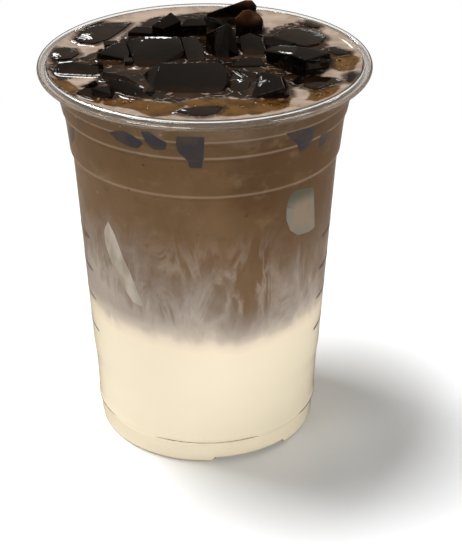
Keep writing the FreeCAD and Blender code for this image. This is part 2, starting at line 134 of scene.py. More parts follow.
def skin(name, rows, material, poles=(False, False), around=True, fields=None):
    """A mesh piece over a grid of points in millimetres; a pole row becomes one point.

    Faces look to the side that (step along a row) x (step to the next row) points to. Each field
    is a grid of numbers that the material can read by name.
    """
    count, wide = rows.shape[:2]
    first, last = (1 if poles[0] else 0), (count - 1 if poles[1] else count)
    body = rows[first:last].reshape(-1, 3)
    inner = last - first
    number = np.arange(inner * wide).reshape(inner, wide)
    onward = np.roll(number, -1, 1) if around else number[:, 1:]
    start = number if around else number[:, :-1]
    quads = np.stack([start[:-1], onward[:-1], onward[1:], start[1:]], 2).reshape(-1, 4)
    points, faces = [body], quads.tolist()
    if poles[0]:
        hub = np.full(start[0].shape, inner * wide)
        points.append(rows[0].mean(0)[None])
        faces += np.stack([hub, onward[0], start[0]], 1).tolist()
    if poles[1]:
        hub = np.full(start[0].shape, inner * wide + (1 if poles[0] else 0))
        points.append(rows[-1].mean(0)[None])
        faces += np.stack([start[-1], onward[-1], hub], 1).tolist()
    mesh = bpy.data.meshes.new(name)
    mesh.from_pydata(np.concatenate(points) * MM, [], faces)
    mesh.polygons.foreach_set("use_smooth", np.ones(len(faces), bool))
    for label, grid in (fields or {}).items():
        values = [grid[first:last].ravel()]
        values += [grid[row].mean()[None] for row, pole in zip((0, -1), poles) if pole]
        kept = mesh.attributes.new(label, "FLOAT", "POINT")
        kept.data.foreach_set("value", np.concatenate(values).astype(np.float32))
    return placed(name, mesh, material)


class Value:
    """A socket in a material. Sums on it add Math nodes, and either side may be a plain number."""

    def __init__(self, paint, socket):
        """Keep the paint that the socket belongs to, for the nodes to come."""
        self.paint, self.socket = paint, socket

    def math(self, operation, *values):
        """The result of a new Math node on these values."""
        return self.paint.node("Math", {"operation": operation}, dict(enumerate(values)))

    def __add__(self, other):
        return self.math("ADD", self, other)

    def __sub__(self, other):
        return self.math("SUBTRACT", self, other)

    def __rsub__(self, other):
        return self.math("SUBTRACT", other, self)

    def __mul__(self, other):
        return self.math("MULTIPLY", self, other)

    def __truediv__(self, other):
        return self.math("DIVIDE", self, other)

    def __rtruediv__(self, other):
        return self.math("DIVIDE", other, self)

    def __pow__(self, other):
        return self.math("POWER", self, other)

    __radd__ = __add__
    __rmul__ = __mul__

    def to(self, low, high, result=(0.0, 1.0)):
        """Eases from one result to the other as the value goes from low to high."""
        return self.paint.node("MapRange", {"interpolation_type": "SMOOTHSTEP"},
                               {0: self, 1: low, 2: high, 3: result[0], 4: result[1]})


def least(a, b):
    """The smaller of two values."""
    return a.math("MINIMUM", a, b)


def most(a, b):
    """The larger of two values."""
    return a.math("MAXIMUM", a, b)


def size_of(a):
    """The value without its sign."""
    return a.math("ABSOLUTE", a)


class Paint:
    """The nodes of a material, or of a world, with the place in millimetres as x, y and z."""

    def __init__(self, name, shelf="materials"):
        self.owner = getattr(bpy.data, shelf).new(name)
        self.owner.use_nodes = True
        self.tree = self.owner.node_tree
        self.tree.nodes.clear()
        own = self.node("TexCoord", out="Object")
        self.place = self.node("VectorMath", {"operation": "SCALE"}, {0: own, "Scale": 1 / MM})
        self.x, self.y, self.z = (self.node("SeparateXYZ", {}, {0: self.place}, out=axis)
                                  for axis in range(3))

    def node(self, kind, settings=None, sockets=None, out=0):
        """Add a node, set its own settings and then its sockets, and give one of its outputs."""
        added = self.tree.nodes.new("ShaderNode" + kind)
        for setting, value in (settings or {}).items():
            if setting == "stops":
                ramp = added.color_ramp.elements
                while len(ramp) < len(value):
                    ramp.new(1.0)
                for element, (where, colour) in zip(ramp, value):
                    element.position, element.color = where, colour
            else:
                setattr(added, setting, value)
        for socket, value in (sockets or {}).items():
            if isinstance(value, Value):
                self.tree.links.new(value.socket, added.inputs[socket])
            else:
                added.inputs[socket].default_value = value
        return Value(self, added.outputs[out])

    def mix(self, factor, a, b):
        """Colour a where the factor is 0, colour b where it is 1."""
        return self.node("Mix", {"data_type": "RGBA"}, {0: factor, 6: a, 7: b}, out=2)

    def noise(self, size, detail=2.0, stretch=(1, 1, 1), shift=(0, 0, 0), rough=0.5, swirl=0.0):
        """Noise with lumps of about this size in millimetres, stretched along each axis."""
        own = self.node("VectorMath", {"operation": "MULTIPLY_ADD"},
                        {0: self.place, 1: tuple(1 / (size * s) for s in stretch), 2: shift})
        return self.node("TexNoise", {}, {"Vector": own, "Scale": 1.0, "Detail": detail,
                                          "Roughness": rough, "Distortion": swirl})

    def bump(self, height, depth):
        """A normal from a height that runs from 0 to 1, with depth in millimetres."""
        return self.node("Bump", {}, {"Height": height, "Distance": depth * MM, "Strength": 1.0})

    def field(self, label):
        """The numbers that a piece's mesh holds under this name."""
        return self.node("Attribute", {"attribute_name": label}, out="Fac")

    def ray(self, kind):
        """1 for rays of this kind, such as "Camera" or "Glossy", and 0 for others."""
        return self.node("LightPath", out=f"Is {kind} Ray")

    def blend(self, factor, a, b):
        """Shader a where the factor is 0, shader b where it is 1."""
        return self.node("MixShader", {}, {0: factor, 1: a, 2: b})

    def finish(self, shader, output="OutputMaterial"):
        """Put the shader on the surface and give the material or world."""
        last = self.tree.nodes.new("ShaderNode" + output)
        self.tree.links.new(shader.socket, last.inputs["Surface"])
        return self.owner


def shade(red, green, blue):
    """A colour written as 0 to 255 on a screen, as linear light."""
    parts = np.array([red, green, blue]) / 255
    linear = np.where(parts < 0.04045, parts / 12.92, ((parts + 0.055) / 1.055) ** 2.4)
    return (*linear.tolist(), 1.0)


def dressed(piece, *nodes, slot):
    """Ride the piece on the only body and let it stand for its nodes; the slot is not used."""
    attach(piece, "root")
    if nodes:
        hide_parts(*nodes)


heel = arc(HEEL, HEEL_BEND, -math.pi / 2, 0, 7)
throat = (ROLL_R - ROLL * math.cos(FLARE), ROLL_Z + ROLL * math.sin(FLARE))
outer_roll = arc((ROLL_R, ROLL_Z), ROLL, -math.pi / 2 - CURL, math.pi - FLARE, 40)
inner_roll = arc((ROLL_R, ROLL_Z), ROLL - WALL, math.pi - FLARE, -math.pi / 2 - CURL, 30)
outer_line = eased(OUTSIDE + [tuple(inner_roll[0])], WALL_BENDS)
INSIDE = [(r - WALL, z) for r, z in OUTSIDE]
inner_line = eased(INSIDE + [throat], WALL_BENDS)
lip = arc(((inner_roll[-1] + outer_roll[0]) / 2), WALL / 2, -math.pi / 2 - CURL + math.pi,
          -math.pi / 2 - CURL + 2 * math.pi, 6)[1:-1]
inner_heel = arc(HEEL, HEEL_BEND - WALL, 0, -math.pi / 2, 6)
profile = divided(np.concatenate([
    eased(UNDERSIDE, PANEL_BENDS), heel[1:], outer_line, inner_roll[1:], lip, outer_roll,
    inner_line[::-1][1:], inner_heel, eased(PANEL_TOP, PANEL_BENDS[::-1])[1:]]), LONGEST_RUN)
angles = np.arange(ROUND) * 2 * math.pi / ROUND
cup_rows = on_legs(turned(profile, angles), angles)

clear = Paint("clear_plastic")
waviness = clear.bump(clear.noise(9, 2, stretch=(1, 1, 5)), 0.03)
plastic = clear.node("BsdfPrincipled", {}, {
    "Base Color": shade(252, 252, 250), "Roughness": clear.noise(14, 3).to(0.3, 0.8, (0.03, 0.08)),
    "IOR": 1.5, "Transmission Weight": 1.0, "Normal": waviness})
open_air = clear.node("BsdfTransparent", {}, {0: (0.97, 0.97, 0.96, 1)})
clear_plastic = clear.finish(
    clear.blend(most(clear.ray("Shadow"), clear.ray("Diffuse")), plastic, open_air))
dressed(skin("cup_shell", cup_rows, clear_plastic, (True, True)), "cup", slot="clear_plastic")

# ================================================================ printed graduation ticks
# Fine dark lines of ink that mark amounts, printed on the outside of the cup. There are four on
# each side, 22 degrees long, and each is a thin closed band on the plastic.
TICK_HEIGHTS = (69.5, 58.3, 47.9, 36.5)
TICK_SIDES = {"left": 194.0, "right": -14.0}
TICK_WIDE, TICK_THICK, TICK_REACH, TICK_STEPS = 0.72, 0.08, 11.0, 25
ink = Paint("tick_ink")
ink_shade = ink.mix(ink.noise(1.2, 3).to(0.35, 0.7), shade(26, 22, 26), shade(40, 34, 34))
tick_ink = ink.finish(ink.node("BsdfPrincipled", {}, {"Base Color": ink_shade, "Roughness": 0.35}))


def outer_radius(z):
    """The radius of the cup's outside at a height."""
    return np.interp(z, outer_line[:, 1], outer_line[:, 0])


def tick(name, z, middle):
    """A band on the cup, an ellipse across, whose size is sqrt(1 - s^8) with s = -1 to 1 along."""
    turn = np.linspace(middle - TICK_REACH, middle + TICK_REACH, TICK_STEPS)
    along = np.radians(turn)[:, None]
    across = np.linspace(0, 2 * math.pi, 10, endpoint=False)
    full = np.sqrt(np.clip(1 - (np.linspace(-1, 1, TICK_STEPS)[:, None]) ** 8, 0, 1))
    high = z + TICK_WIDE / 2 * np.cos(across) * full
    out = outer_radius(high) + TICK_THICK * np.sin(across) * full
    rows = np.stack([out * np.cos(along), out * np.sin(along), high], 2)
    return skin(name, rows, tick_ink, (True, True))


for side, middle in TICK_SIDES.items():
    for number, z in enumerate(TICK_HEIGHTS, start=1):
        dressed(tick(f"tick_{side}_{number}", z, middle), slot="clear_plastic")

# ================================================================ milk and hojicha
# Cold milk poured into the foot of the cup, and brown roasted tea on top of it, clouded by milk
# that has risen in veils. Each is one piece that fills the cup and reaches just into the plastic.
# Both are painted from the same veils, so that one runs into the other.
INTO_WALL = 0.12
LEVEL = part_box("hojicha_tea")[1][2] / MM
MILK, SWELL, RIPPLE, WAVE, FOOT = 42.5, 3.0, 0.7, 23.0 / (2 * math.pi), 35.9
CLIMB, CLIMB_REACH = 0.95, 1.1
MENISCUS, MENISCUS_REACH, TOP_INSET = 0.32, 0.7, 0.02
ROUND_DRINK = 340
MILK_FOOT = [(0, 4.1), (29.1, 4.1), (30.3, WALL - 0.1), (32.9, WALL - 0.1)]
drink_line = inner_line + [INTO_WALL, 0]


def bank(x, y):
    """Where milk meets tea: milk + swell (y^2 - x^2) / foot^2 + ripple cos(x / w) cos(y / w)."""
    return (MILK + SWELL * (y ** 2 - x ** 2) / FOOT ** 2
            + RIPPLE * np.cos(x / WAVE) * np.cos(y / WAVE))


def wall_radius(z):
    """The radius of the drink where it stands against the wall at a height."""
    return np.interp(z, drink_line[:, 1], drink_line[:, 0])


def up_the_wall(heights):
    """Rows that stand against the wall, one for each row of heights: (ring * wall radius, z)."""
    return np.dstack([ring[None] * wall_radius(heights)[..., None], heights])


sides = np.arange(ROUND_DRINK) * 2 * math.pi / ROUND_DRINK
ring = np.stack([np.cos(sides), np.sin(sides)], 1)
# Where the bank meets the wall, found by turns: the height gives a radius, which gives the height.
seam = np.full(ROUND_DRINK, MILK)
for _ in range(4):
    seam = bank(*(ring * wall_radius(seam)[:, None]).T)
seam_ring = ring * wall_radius(seam)[:, None]
# Rows lie close together next to a sharp corner, so that it shades cleanly.
inwards = np.concatenate([[1, 0.998], np.linspace(0.985, 0, 24)])
seam_disc = seam_ring[None] * inwards[:, None, None]
seam_rows = np.dstack([seam_disc, bank(seam_disc[..., 0], seam_disc[..., 1])])

milk_heel = arc(HEEL, HEEL_BEND - WALL + INTO_WALL, -math.pi / 2, 0, 6)[1:]
milk_foot = np.concatenate([eased(MILK_FOOT, PANEL_BENDS), milk_heel])
foot_rows = on_legs(turned(milk_foot, sides), sides)
milk_climb = np.concatenate([np.linspace(0, 0.985, 40)[1:], [0.998]])[:, None]
milk_wall = up_the_wall(ARCH_TOP + (seam - ARCH_TOP) * milk_climb)
tea_climb = np.concatenate([[0.001], np.linspace(0.01, 1, 60)])[:, None]
tea_wall = up_the_wall(seam + (LEVEL - seam) * tea_climb)

edge = wall_radius(LEVEL + CLIMB) - TOP_INSET
near_wall = [1, 0.998, 0.995, 0.99, 0.983, 0.975, 0.965]
top_r = np.concatenate([near_wall, np.linspace(0.955, 0, 150)])
top_disc = ring[None] * (edge * top_r)[:, None, None]


def waterline(node):
    """The outline of a solid at the tea's level, as the two ends of each straight run."""
    shape = bmesh.new()
    shape.from_mesh(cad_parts[node].data)
    cut = bmesh.ops.bisect_plane(shape, geom=shape.verts[:] + shape.edges[:] + shape.faces[:],
                                 plane_co=(0, 0, LEVEL * MM), plane_no=(0, 0, 1))["geom_cut"]
    runs = [[end.co.xy[:] for end in part.verts] for part in cut
            if isinstance(part, bmesh.types.BMEdge)]
    shape.free()
    return np.array(runs, float).reshape(-1, 2, 2) / MM


def away_from(points, runs):
    """Distance from each point to the nearest run: |p - a - t (b - a)|, with t kept in 0 to 1."""
    best = np.full(points.shape[:-1], 1e6)
    for a, b in runs:
        along = b - a
        t = np.clip((points - a) @ along / max(along @ along, 1e-9), 0, 1)
        best = np.minimum(best, np.linalg.norm(points - a - t[..., None] * along, axis=-1))
    return best


def within(points, outline):
    """Depth inside a closed outline, negative outside it; inside is where crossings are odd."""
    corners = np.asarray(outline, float)
    following = np.roll(corners, -1, 0)
    odd = np.zeros(points.shape[:-1], bool)
    for (ax, ay), (bx, by) in zip(corners, following):
        spans = (ay > points[..., 1]) != (by > points[..., 1])
        crossing = ax + (points[..., 1] - ay) * (bx - ax) / (by - ay if by != ay else 1e-9)
        odd ^= spans & (points[..., 0] < crossing)
    return np.where(odd, 1, -1) * away_from(points, np.stack([corners, following], 1))


def surface_height(points, shore):
    """The tea's level, with climb exp(-d / reach) at the wall and a smaller one at the jelly."""
    inward = edge - np.linalg.norm(points, axis=-1)
    return (LEVEL + CLIMB * np.exp(-inward / CLIMB_REACH)
            + MENISCUS * np.exp(-shore / MENISCUS_REACH) * np.clip(inward / 3, 0, 1))


blocks = [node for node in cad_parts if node.startswith("jelly_")]
jelly_line = np.concatenate([waterline(node) for node in blocks])
shore = away_from(top_disc, jelly_line)
top_rows = np.dstack([top_disc, surface_height(top_disc, shore)])

# Jelly lies close under the surface inside these outlines and makes the tea look black.
SUNK = [
    [(-31.1, 8.5), (-26.1, 16.9), (-23.5, 27.5), (-17.1, 38.3), (-6.1, 41.9), (0.2, 43.6),
     (9.8, 45.4), (14, 26.7), (17.5, 21.3), (21.8, 29.3), (29.8, 33.7), (35.7, 28.1),
     (37.1, 13.1), (36.6, -5.8), (32.2, -15), (26.8, -19.5), (22.5, -21.7), (17.5, -26.7),
     (12.4, -29.5), (6.4, -28), (-1.3, -27.8), (-8.2, -31.3), (-15.1, -29.8), (-20.8, -26.8),
     (-26.2, -28.1), (-33.5, -22.9), (-35.8, -18.4), (-31.2, -13.9), (-32.6, -6.1)],
    [(-45.5, -7.4), (-45.3, 0.6), (-36.8, 4.5), (-31.2, 10.2), (-29.5, 0.3), (-30.6, -10.8),
     (-37.1, -12.2), (-42, -14.5)],
    [(-39.1, 17.2), (-38.2, 26), (-34, 33.1), (-22.2, 33.8), (-25.4, 27.5), (-28.1, 20.5),
     (-34.5, 15.4)]]
# Clear amber tea shows inside these, where no milk film covers it.
AMBER = [
    [(-28.5, -27.4), (-20.8, -26.8), (-14.6, -29.8), (-8.2, -31.3), (-1.3, -27.8), (6.4, -28),
     (12.4, -29.5), (17.5, -27.5), (22.4, -23.9), (24, -29.7), (22.6, -35.4), (15.4, -39.5),
     (5.4, -40.7), (-1.3, -37.8), (-5.2, -33.5), (-8.9, -40.4), (-14.8, -41), (-19, -36.1),
     (-23.2, -33.9), (-27.7, -32.4)],
    [(-36.2, -19.9), (-31.6, -21.4), (-27.9, -27.4), (-28.8, -32.4), (-33.4, -28.7)],
    [(-44.3, -12.5), (-39.5, -13.6), (-36.2, -18.4), (-33.6, -24.6), (-36.6, -27.6), (-41, -22),
     (-44, -17)],
    [(27.9, -29.8), (29.5, -21), (33.9, -18.1), (38.1, -19.7), (36.1, -26.3), (31.1, -31.3)],
    [(35.9, 8.9), (43.1, 7.1), (45.5, 0.5), (43.1, -7.5), (38.3, -9), (35.8, -4.2)]]
sunk = np.max([within(top_disc, outline) for outline in SUNK], 0)
open_tea = np.max([within(top_disc, outline) for outline in AMBER], 0)

# The drink's colour by height, from the milk to the tea: (height, screen colour).
BANDS = [(34, (255, 241, 214)), (41.5, (255, 239, 212)), (44, (243, 226, 203)),
         (46, (212, 197, 179)), (49, (180, 166, 153)), (53, (156, 142, 130)),
         (59, (137, 121, 107)), (66, (124, 103, 84)), (75, (117, 92, 68)), (86, (112, 86, 60)),
         (100, (102, 76, 50)), (113, (90, 68, 46)), (119, (104, 86, 68))]
# Painted highlights where the wall bends, with painted shade under each: (height, how strong).
BEND_HIGHLIGHTS = [(94.4, 0.26), (107.0, 0.3), (112.3, 0.24)]
BAND_LOW, BAND_HIGH = 30.0, 122.0
FAR_OUTSIDE = -50.0


def shade_stops(bands):
    """Colour ramp stops, with heights as shares of the way from BAND_LOW to BAND_HIGH."""
    return [((z - BAND_LOW) / (BAND_HIGH - BAND_LOW), shade(*colour)) for z, colour in bands]


def veiled(paint):
    """The drink through the wall: cream, lilac-grey veils, brown to the top, and painted light."""
    wander = paint.noise(22, 2, swirl=0.4) - 0.5
    streaks = paint.noise(5.5, 3, stretch=(1, 1, 3.2), shift=(3, 1, 5), swirl=0.8) - 0.5
    cloud = paint.noise(11, 4, stretch=(1, 1, 1.5), shift=(8, 2, 6), rough=0.6, swirl=0.5) - 0.5
    # Brown hangs up to 15 mm lower near x = 12, and the left side is as pale as 12 mm lower down.
    valley = (1 - size_of(paint.x - 12) / 12).to(0, 1) * 15
    pale_left = paint.x.to(-14, -32) * -12
    # The veils wander freely above the milk and settle towards the top.
    loose = paint.z.to(42, 60, (0.1, 1.0))
    settled = paint.z.to(105, 80, (0.35, 1.0))
    height = paint.z + ((wander * 22 + streaks * 17 + cloud * 34 + valley + pale_left)
                        * loose * settled)
    height = most(height, least(paint.z - 1.5, 50))
    east = paint.x + wander * 30
    colour = paint.node("ValToRGB", {"stops": shade_stops(BANDS)},
                        {0: (height - BAND_LOW) / (BAND_HIGH - BAND_LOW)})
    # Pale milk threads, then painted shade on the upper right, then lighter and darker blotches.
    wisp = paint.noise(9, 4, stretch=(1, 1, 2.6), shift=(6, 3, 9), rough=0.6, swirl=0.7)
    thread = (1 - size_of(wisp - 0.52) / 0.09).to(0, 1) * paint.z.to(45, 50) * paint.z.to(86, 62)
    colour = paint.mix(thread * cloud.to(-0.12, 0.1) * 0.32, colour, shade(204, 192, 182))
    upper = paint.z.to(58, 84)
    colour = paint.mix(east.to(0, 19) * upper * 0.5, colour, shade(66, 41, 20))
    blotch = paint.noise(9, 4, stretch=(1, 1, 0.8), shift=(5, 9, 2), rough=0.6)
    colour = paint.mix(blotch.to(0.52, 0.8) * upper * 0.35, colour, shade(150, 126, 96))
    colour = paint.mix(blotch.to(0.48, 0.22) * upper * 0.35, colour, shade(70, 48, 30))
    # Each bend gets a painted highlight line, and a painted line of shade 1.1 mm under it.
    for line, strong in BEND_HIGHLIGHTS:
        bright = (1 - size_of(paint.z - line) / 0.6).to(0, 1) * strong
        below = (1 - size_of(paint.z - line + 1.1) / 0.8).to(0, 1) * strong
        colour = paint.mix(below * 0.7, colour, shade(62, 43, 29))
        colour = paint.mix(bright, colour, shade(184, 166, 144))
    # Light and dark specks, like tiny bubbles on the wall.
    cell = paint.node("VectorMath", {"operation": "SCALE"}, {0: paint.place, "Scale": 1 / 4.2})
    speck = paint.node("TexVoronoi", {}, {"Vector": cell, "Scale": 1.0}, out="Distance")
    where = paint.noise(15, 2, shift=(2, 8, 5)).to(0.5, 0.62)
    return paint.mix(speck.to(0.13, 0.07) * where * upper * 0.7, colour,
                     paint.mix(wander.to(-0.02, 0.02), shade(62, 44, 32), shade(176, 154, 126)))


milk_paint = Paint("milk")
milk_finish = milk_paint.finish(milk_paint.node("BsdfPrincipled", {}, {
    "Base Color": veiled(milk_paint), "Roughness": 0.5, "Specular IOR Level": 0.0,
    "Normal": milk_paint.bump(milk_paint.noise(5, 3), 0.05)}))
milk_rows = np.concatenate([foot_rows, milk_wall, seam_rows])
dressed(skin("milk", milk_rows, milk_finish, (True, True)), "milk_layer", slot="milk")

tea_paint = Paint("hojicha")
on_top = tea_paint.z.to(LEVEL - 0.35, LEVEL - 0.05)
ragged = tea_paint.noise(4, 4, shift=(4, 4, 4), swirl=0.8) - 0.5
curls = tea_paint.noise(6.5, 3, stretch=(1.6, 1, 1), shift=(1, 7, 2), swirl=1.6)
over_jelly = (tea_paint.field("sunk") + ragged * 5).to(-0.9, 0.9)
beside = (tea_paint.field("shore") + ragged * 2).to(2.4, 0.4)
dark_under = most(over_jelly, beside * 0.85)
patch = (tea_paint.field("open_tea") + ragged * 3).to(-0.5, 0.5)
# Milk film on the tea; its pale beige is partly a painted reflection of the bright room.
film_and_reflection = tea_paint.mix(curls.to(0.3, 0.7), shade(160, 142, 127), shade(136, 118, 103))
amber = tea_paint.mix(tea_paint.noise(5, 4).to(0.3, 0.75), shade(92, 63, 27), shade(62, 39, 15))
vein = (1 - size_of(curls - 0.5) / 0.035).to(0, 1)
deep = tea_paint.mix(tea_paint.noise(8, 3).to(0.4, 0.7), shade(19, 12, 8), shade(46, 30, 18))
deep = tea_paint.mix(vein * ragged.to(-0.05, 0.15) * 0.7, deep, shade(150, 134, 120))
surface = tea_paint.mix(dark_under, tea_paint.mix(patch, film_and_reflection, amber), deep)
tea_shade = tea_paint.mix(on_top, veiled(tea_paint), surface)
tea_finish = tea_paint.finish(tea_paint.node("BsdfPrincipled", {}, {
    "Base Color": tea_shade, "Roughness": 0.5, "Specular IOR Level": 0.0,
    "Coat Weight": on_top, "Coat Roughness": 0.02, "Coat IOR": 1.33,
    "Normal": tea_paint.bump(tea_paint.noise(6, 3), 0.06)}))
tea_rows = np.concatenate([seam_rows[::-1], tea_wall, top_rows])
below_top = np.full((len(tea_rows) - len(top_rows), ROUND_DRINK), FAR_OUTSIDE)
tea_fields = {label: np.concatenate([below_top, grid])
              for label, grid in (("sunk", sunk), ("open_tea", open_tea), ("shore", shore))}
dressed(skin("hojicha", tea_rows, tea_finish, (True, True), fields=tea_fields),
        "hojicha_tea", slot="hojicha")

# ================================================================ bubbles
# Froth left from pouring: small clear domes of tea film that float where the tea is open,
# thickest at the front right. All of them are one piece.
# Each spot is (east, north, spread east, spread north, how many).
BUBBLE_SPOTS = [(19, -31, 6, 3.5, 46), (33, -25, 5, 4, 30), (40.5, -1, 4, 6.5, 34),
                (3, -35, 12, 3, 22), (-22, -30, 6, 2, 12), (-39, -20, 2, 2, 6)]
SPREAD, SMALLEST, LARGER_BY = 1.8, 0.22, 0.75
OFF_WALL, OFF_JELLY = 1.6, 0.9
DOME_SIDES, DOME_HEIGHT = 14, 0.75
chance = np.random.default_rng(11)
bubble_places, bubble_sizes = [], []
for east, north, wide, long, many in BUBBLE_SPOTS:
    spread = (wide / SPREAD, long / SPREAD)
    bubble_places.append(chance.normal((east, north), spread, (many, 2)))
    bubble_sizes.append(SMALLEST + LARGER_BY * chance.random(many) ** 3)
bubble_places, bubble_sizes = np.concatenate(bubble_places), np.concatenate(bubble_sizes)
afloat = ((np.linalg.norm(bubble_places, axis=1) < edge - OFF_WALL)
          & (away_from(bubble_places, jelly_line) > OFF_JELLY))
bubble_paint = Paint("bubble")
bubble_finish = bubble_paint.finish(bubble_paint.node("BsdfPrincipled", {}, {
    "Base Color": shade(236, 214, 176),
    "Roughness": bubble_paint.noise(1, 2).to(0.3, 0.7, (0.0, 0.06)),
    "IOR": 1.2, "Transmission Weight": 1.0}))


def domes(name, places, radii, base, material):
    """One mesh of low domes: each ring is r (cos a, sin a) cos b at DOME_HEIGHT r sin b."""
    a = np.arange(DOME_SIDES) * 2 * math.pi / DOME_SIDES
    b = np.radians([-70, -35, 0, 30, 60, 82])[:, None]
    unit = np.stack([np.cos(a) * np.cos(b), np.sin(a) * np.cos(b),
                     DOME_HEIGHT * np.sin(b) + 0 * a], 2)
    count = len(b) * DOME_SIDES
    number = np.arange(count).reshape(-1, DOME_SIDES)
    onward = np.roll(number, -1, 1)
    quads = np.stack([number[:-1], onward[:-1], onward[1:], number[1:]], 2).reshape(-1, 4)
    step = (np.arange(len(radii)) * count)[:, None]
    points = unit.reshape(1, -1, 3) * radii[:, None, None]
    points += np.column_stack([places, np.full(len(places), base)])[:, None]
    caps = [number[0][::-1] + step, number[-1] + step]
    mesh = bpy.data.meshes.new(name)
    mesh.from_pydata(points.reshape(-1, 3) * MM, [],
                     (quads[None] + step[..., None]).reshape(-1, 4).tolist()
                     + caps[0].tolist() + caps[1].tolist())
    mesh.polygons.foreach_set("use_smooth", np.ones(len(mesh.polygons), bool))
    return placed(name, mesh, material)


dressed(domes("froth", bubble_places[afloat], bubble_sizes[afloat], LEVEL, bubble_finish),
        slot="hojicha")

# ================================================================ jelly and ice against the wall
# Sunken pieces that press against the plastic from inside and show through it: cut jelly close
# under the surface, and two lumps of ice lower down. Each is a flat pillow that lies against the
# wall, sunk into the drink at its edge.
PILLOW_SUNK, PILLOW_PROUD, PILLOW_BACK = 0.35, 0.14, 1.6
PILLOW_BEND, PILLOW_RUN, FACE_RINGS, BACK_RINGS = 1.2, 0.7, 12, 8
# Outlines as (degrees from the front towards +X, height).
JELLY_AT_WALL = {
    "front": [(-11.2, 115.7), (1.3, 115.7), (0.7, 109.8), (-0.1, 102.5), (-5.9, 102.5),
              (-7.3, 106.4), (-10.9, 108.6), (-12, 112.1)],
    "left": [(-40, 112), (-31, 114.6), (-26, 113), (-21.5, 110.8), (-24.6, 108),
             (-30, 108), (-36.5, 109.4)],
    "left_inner": [(-24.5, 115.6), (-20, 115.8), (-16.2, 113.2), (-12.6, 111.8), (-14, 108.6),
                   (-20, 108.2), (-23.5, 111.2)],
    "right": [(28.5, 113.2), (37.6, 113.1), (49, 111.6), (46.5, 108.4), (46.4, 104.2),
              (39.6, 103), (37, 107.2), (31.5, 110.6)],
    "right_outer": [(49.6, 108), (59.5, 107), (57.3, 102.8), (50, 102)],
    "left_outer": [(-74.6, 104.6), (-61.5, 107.5), (-65.6, 101.8), (-76.1, 96.1)]}
ICE_AT_WALL = {
    "left": [(-48.3, 83.5), (-43.9, 79), (-39, 71), (-33.8, 64.2), (-29.9, 57.2), (-27, 52.2),
             (-34, 52.8), (-40.4, 58), (-48.2, 66), (-52.6, 73), (-52.4, 79)],
    "right": [(34.4, 88), (36, 91.6), (39.6, 93.1), (43.2, 92.9), (54.4, 91.3), (59.4, 73.4),
              (53.4, 73.1), (43.9, 74.3), (38.1, 77.4), (34.8, 82.4)]}


def pillow(name, outline, material):
    """A closed pillow on the wall: the outline drawn in to share s about its middle.

    Its face lies at proud - (proud + sunk) s^6 and its back at -back + (back - sunk) s^2.
    """
    corners = np.asarray(outline, float)
    if np.cross(np.roll(corners, -1, 0) - corners[0], corners - corners[0]).sum() < 0:
        corners = corners[::-1]
    path = np.concatenate([corners, corners[:2]])
    ring_line = divided(eased(path, [PILLOW_BEND] * len(path)), PILLOW_RUN)[:-1]
    hub = corners.mean(0)
    s = np.concatenate([np.linspace(0, 1, FACE_RINGS), np.linspace(1, 0, BACK_RINGS)[1:]])[:, None]
    spread = hub + (ring_line - hub) * s[..., None]
    proud = np.where(np.arange(len(s))[:, None] < FACE_RINGS,
                     PILLOW_PROUD - (PILLOW_PROUD + PILLOW_SUNK) * s ** 6,
                     -PILLOW_BACK + (PILLOW_BACK - PILLOW_SUNK) * s ** 2)
    out = np.interp(spread[..., 1], inner_line[:, 1], inner_line[:, 0]) + INTO_WALL + proud
    turn = np.radians(spread[..., 0])
    rows = np.stack([out * np.sin(turn), -out * np.cos(turn), spread[..., 1]], 2)
    rim = np.broadcast_to(s, spread.shape[:2])
    return skin(name, rows, material, (True, True), fields={"rim": rim})


sunk_paint = Paint("sunk_jelly")
murk = (sunk_paint.field("rim") + (sunk_paint.noise(2.5, 3) - 0.5) * 0.4).to(0.75, 1.05)
sunk_shade = sunk_paint.mix(sunk_paint.noise(6, 2).to(0.35, 0.7), shade(44, 43, 51),
                            shade(60, 52, 46))
sunk_finish = sunk_paint.finish(sunk_paint.node("BsdfPrincipled", {}, {
    "Base Color": sunk_paint.mix(murk, sunk_shade, shade(98, 76, 56)), "Roughness": 0.3,
    "Specular IOR Level": 0.1}))
for place, outline in JELLY_AT_WALL.items():
    dressed(pillow(f"wall_jelly_{place}", outline, sunk_finish), slot="grass_jelly")

ice_paint = Paint("sunk_ice")
ice_melt = (ice_paint.field("rim") + (ice_paint.noise(3, 3) - 0.5) * 0.3).to(0.8, 1.0)
grain = ice_paint.noise(6, 2, stretch=(1, 1, 2)).to(0.35, 0.65)
pale_ice = ice_paint.mix(ice_paint.x.to(-5, 5),
                         ice_paint.mix(grain, shade(192, 181, 166), shade(160, 147, 132)),
                         ice_paint.mix(grain, shade(140, 122, 102), shade(122, 117, 110)))
ice_shade = ice_paint.mix(ice_paint.x.to(10, 20) * ice_paint.z.to(85, 90), pale_ice,
                          shade(86, 84, 68))
ice_finish = ice_paint.finish(ice_paint.node("BsdfPrincipled", {}, {
    "Base Color": ice_paint.mix(ice_melt, ice_shade, shade(108, 88, 70)), "Roughness": 0.3,
    "Specular IOR Level": 0.1}))
for place, outline in ICE_AT_WALL.items():
    dressed(pillow(f"wall_ice_{place}", outline, ice_finish), slot="hojicha")

# ================================================================ grass jelly
# Blocks of firm black herbal jelly, cut by hand with a knife and wet with tea. They float in the
# top of the drink, pressed together, with sharp edges that catch the light. Each is its own solid
# from the part, welded, with every cut edge slightly rounded, and small offcuts lie between them.
WELD, KNIFE_EDGE = 0.002, 0.45
jelly_paint = Paint("grass_jelly")
wet = (jelly_paint.z + (jelly_paint.noise(4, 3) - 0.5) * 3).to(LEVEL - 0.3, LEVEL + 1.6)
jelly_shade = jelly_paint.mix(wet, shade(28, 15, 7), shade(6, 4, 3))
